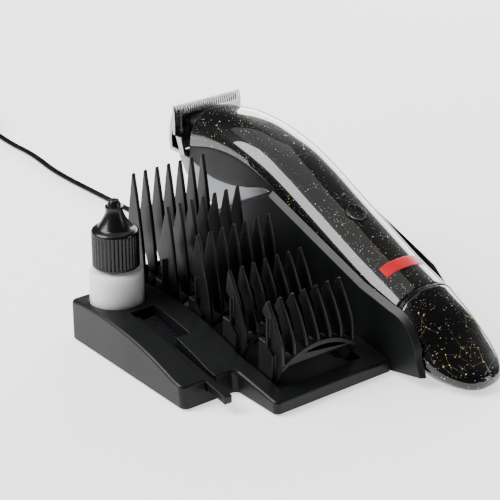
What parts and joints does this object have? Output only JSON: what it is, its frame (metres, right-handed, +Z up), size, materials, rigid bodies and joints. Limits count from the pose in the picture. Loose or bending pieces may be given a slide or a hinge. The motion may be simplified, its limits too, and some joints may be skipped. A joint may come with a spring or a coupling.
{
  "type": "hair clipper",
  "caption": "Cordless hair clipper lying in a sloping charging stand, with guide combs, oil bottle, cleaning brush and a flat lead with a mains adapter.",
  "frame": {"origin": "on the surface the stand rests on, under the middle of the stand and clipper", "axes": "+X across the blade from the combs to the clipper, +Y from the clipper's tail to its blade, +Z up"},
  "size_m": [0.122, 0.5028, 0.0713],
  "materials": {
    "stand_plastic": "satin moulded ABS",
    "comb_plastic": "moulded nylon",
    "clipper_gloss": "high gloss printed ABS",
    "chassis_plastic": "satin ABS",
    "silver_plastic": "silver painted ABS",
    "ring_trim": "gloss trim",
    "badge_plastic": "red enamel-like label",
    "blade_steel": "ground stainless steel",
    "holder_steel": "pressed sheet steel",
    "screw_steel": "plated",
    "motor_steel": "drawn can",
    "battery_wrap": "shrink sleeve",
    "circuit_laminate": "solder mask",
    "contact_metal": "gold plated",
    "drive_plastic": "acetal",
    "foot_rubber": "moulded",
    "bottle_plastic": "translucent polyethylene",
    "oil_liquid": "clear light oil",
    "cap_plastic": "moulded polypropylene",
    "bristle_nylon": "nylon monofilament",
    "cord_vinyl": "twin flat vinyl lead"
  },
  "bodies": {
    "stand": {"stand_top": "stand_plastic", "dock": "stand_plastic", "strain_relief": "cord_vinyl", "contact_block": "chassis_plastic", "charge_board": "circuit_laminate", "base_plate": "stand_plastic", "base_screws": "screw_steel", "feet": "foot_rubber", "cord": "cord_vinyl", "cord_coil": "cord_vinyl", "cord_tie": "cord_vinyl", "cord_end": "cord_vinyl", "adapter_case": "stand_plastic", "adapter_prongs": "screw_steel", "adapter_boot": "cord_vinyl"},
    "clipper": {"upper_shell": "clipper_gloss", "badge": "badge_plastic", "chassis": "chassis_plastic", "head_plate": "chassis_plastic", "lower_shell": "silver_plastic", "charge_contacts": "contact_metal", "seam_ring": "ring_trim", "tail_cap": "clipper_gloss", "motor": "motor_steel", "fixed_blade": "blade_steel", "blade_screws": "screw_steel", "blade_holder": "holder_steel", "battery": "battery_wrap", "circuit_board": "circuit_laminate", "button_switch": "chassis_plastic"},
    "blade_drive": {"moving_blade": "blade_steel", "drive_yoke": "drive_plastic"},
    "motor_shaft": {"eccentric": "motor_steel"},
    "button": {"power_button": "clipper_gloss"},
    "charge_pins": {"contact_pins": "contact_metal"},
    "bottle": {"oil_bottle": "bottle_plastic", "clipper_oil": "oil_liquid"},
    "nozzle_cap": {"bottle_cap": "cap_plastic"},
    "brush": {"brush_handle": "stand_plastic", "brush_bristles": "bristle_nylon"},
    "comb_1": {"guide_comb_1": "comb_plastic"},
    "comb_2": {"guide_comb_2": "comb_plastic"},
    "comb_3": {"guide_comb_3": "comb_plastic"},
    "comb_4": {"guide_comb_4": "comb_plastic"},
    "comb_5": {"guide_comb_5": "comb_plastic"}
  },
  "joints": [
    {"name": "clipper_lift", "type": "slide", "parent": "stand", "child": "clipper", "axis": [0, 0, 1], "range_m": [0, 0.06]},
    {"name": "blade_stroke", "type": "slide", "parent": "clipper", "child": "blade_drive", "axis": [1, 0, 0], "range_m": [-0.0012, 0.0012]},
    {"name": "shaft_spin", "type": "hinge", "parent": "clipper", "child": "motor_shaft", "pos_m": [0.0414, 0.0595, 0.0386], "axis": [0, 1, 0], "continuous": true},
    {"name": "button_press", "type": "slide", "parent": "clipper", "child": "button", "axis": [0, 0.4039, -0.9148], "range_m": [0, 0.0009], "stiffness_N_per_m": 800, "springref_m": -0.0003},
    {"name": "pin_press", "type": "slide", "parent": "stand", "child": "charge_pins", "axis": [0, 0, -1], "range_m": [0, 0.0008], "stiffness_N_per_m": 300, "springref_m": -0.0005},
    {"name": "bottle_lift", "type": "slide", "parent": "stand", "child": "bottle", "axis": [0, 0, 1], "range_m": [0, 0.04]},
    {"name": "cap_turn", "type": "hinge", "parent": "bottle", "child": "nozzle_cap", "pos_m": [-0.0464, 0.0323, 0.0116], "axis": [0, 0, 1], "range_deg": [0, 360]},
    {"name": "brush_lift", "type": "slide", "parent": "stand", "child": "brush", "axis": [0, 0, 1], "range_m": [0, 0.04]},
    {"name": "comb_1_lift", "type": "slide", "parent": "stand", "child": "comb_1", "axis": [0, 0, 1], "range_m": [0, 0.06]},
    {"name": "comb_2_lift", "type": "slide", "parent": "stand", "child": "comb_2", "axis": [0, 0, 1], "range_m": [0, 0.06]},
    {"name": "comb_3_lift", "type": "slide", "parent": "stand", "child": "comb_3", "axis": [0, 0, 1], "range_m": [0, 0.06]},
    {"name": "comb_4_lift", "type": "slide", "parent": "stand", "child": "comb_4", "axis": [0, 0, 1], "range_m": [0, 0.06]},
    {"name": "comb_5_lift", "type": "slide", "parent": "stand", "child": "comb_5", "axis": [0, 0, 1], "range_m": [0, 0.06]}
  ]
}
